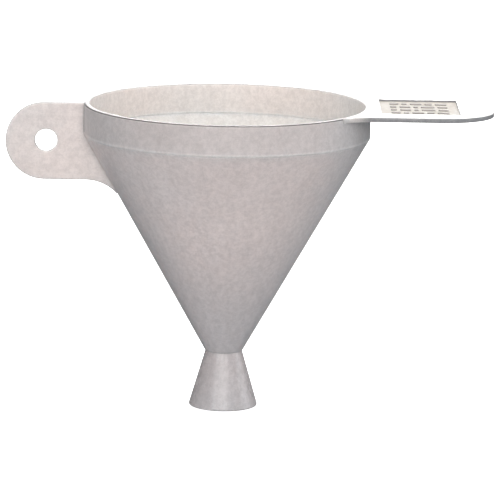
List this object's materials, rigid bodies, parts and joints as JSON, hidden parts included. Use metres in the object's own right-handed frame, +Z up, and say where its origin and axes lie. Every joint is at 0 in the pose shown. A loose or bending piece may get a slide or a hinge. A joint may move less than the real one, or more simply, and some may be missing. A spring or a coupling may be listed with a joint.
{
  "type": "powder funnel",
  "caption": "Moulded plastic funnel with an upright collar, a straight cone, a short flared drop spout, a hanging lug with a hole and a flat thumb handle.",
  "frame": {"origin": "centre of the bounding box's bottom face: on the plane that the spout's foot stands on, 5.75 mm from the funnel's own upright axis towards the handle", "axes": "+Z up along the funnel's axis from the foot to the rim; +X from the hanging lug towards the thumb handle; Y across, with the mirror plane at Y = 0"},
  "size_m": [0.1292, 0.0762, 0.0817],
  "materials": {
    "collar_plastic": "satin, milky undyed polypropylene",
    "cone_plastic": "satin, milky undyed polypropylene",
    "spout_plastic": "satin, milky undyed polypropylene",
    "lug_plastic": "matte, milky undyed polypropylene",
    "handle_plastic": "matte, milky undyed polypropylene",
    "label_plastic": "matte, finely textured"
  },
  "bodies": {
    "root": {"rim_collar": "collar_plastic", "cone_shell": "cone_plastic", "drop_spout": "spout_plastic", "hanging_lug": "lug_plastic", "thumb_handle": "handle_plastic", "label_panel": "label_plastic"}
  },
  "joints": []
}
